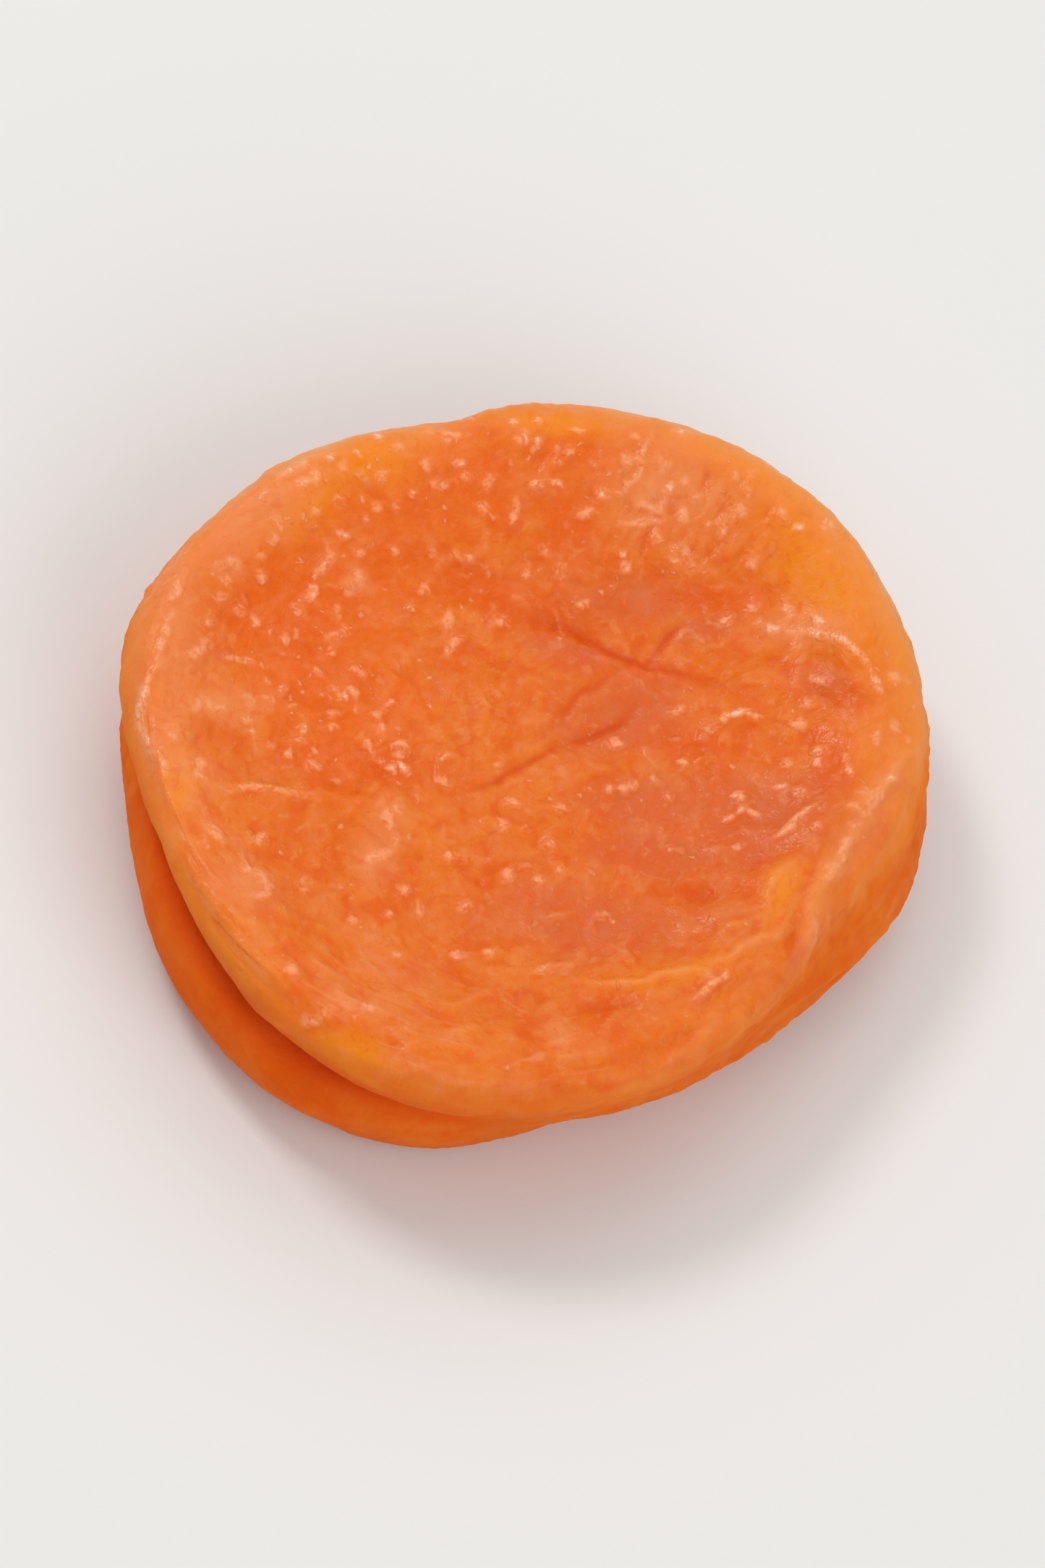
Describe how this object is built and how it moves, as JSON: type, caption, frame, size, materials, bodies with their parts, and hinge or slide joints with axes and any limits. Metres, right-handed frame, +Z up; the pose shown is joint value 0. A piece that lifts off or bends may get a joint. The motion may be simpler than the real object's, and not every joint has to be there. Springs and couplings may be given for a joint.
{
  "type": "dried apricot",
  "caption": "Whole pitted apricot dried flat: a rolled rim round a sunken, creased face, over a groove and a fuller lower lobe.",
  "frame": {"origin": "on the surface the fruit lies on, under the middle of its outline", "axes": "+Z up out of the sunken face, +X along the fruit's longest width, +Y towards the wall where the stalk was"},
  "size_m": [0.043, 0.0412, 0.0113],
  "materials": {
    "apricot_skin": "satin"
  },
  "bodies": {
    "root": {"dried_apricot": "apricot_skin"}
  },
  "joints": []
}
